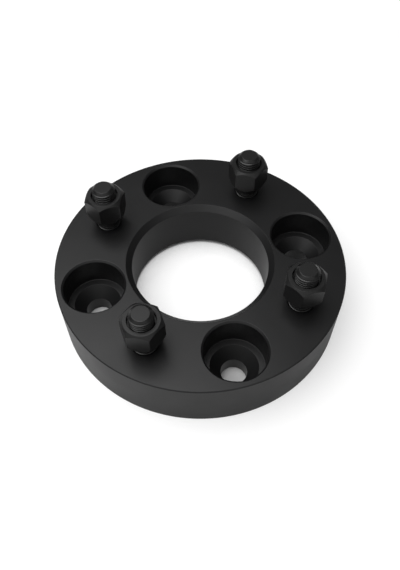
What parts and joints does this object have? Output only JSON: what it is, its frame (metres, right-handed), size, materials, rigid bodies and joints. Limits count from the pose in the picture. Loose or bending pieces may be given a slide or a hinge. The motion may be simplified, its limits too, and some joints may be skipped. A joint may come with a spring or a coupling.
{
  "type": "wheel spacer",
  "caption": "Thick bolt-on ring that moves a wheel outward: stepped recesses for the hub nuts, pressed-in studs and tapered lug nuts for the wheel.",
  "frame": {"origin": "centre of the hub-side face, on the axis of the centre bore", "axes": "+Z along the bore axis, from the hub to the wheel; +X through one hub nut recess and +Y through the next, with the studs halfway between"},
  "size_m": [0.153, 0.153, 0.0571],
  "materials": {
    "anodised_ring": "satin black anodised, turned",
    "stud_steel": "semi-gloss black plated",
    "nut_steel": "satin black plated"
  },
  "bodies": {
    "root": {"spacer_body": "anodised_ring", "wheel_studs": "stud_steel", "lug_nuts": "nut_steel"}
  },
  "joints": []
}
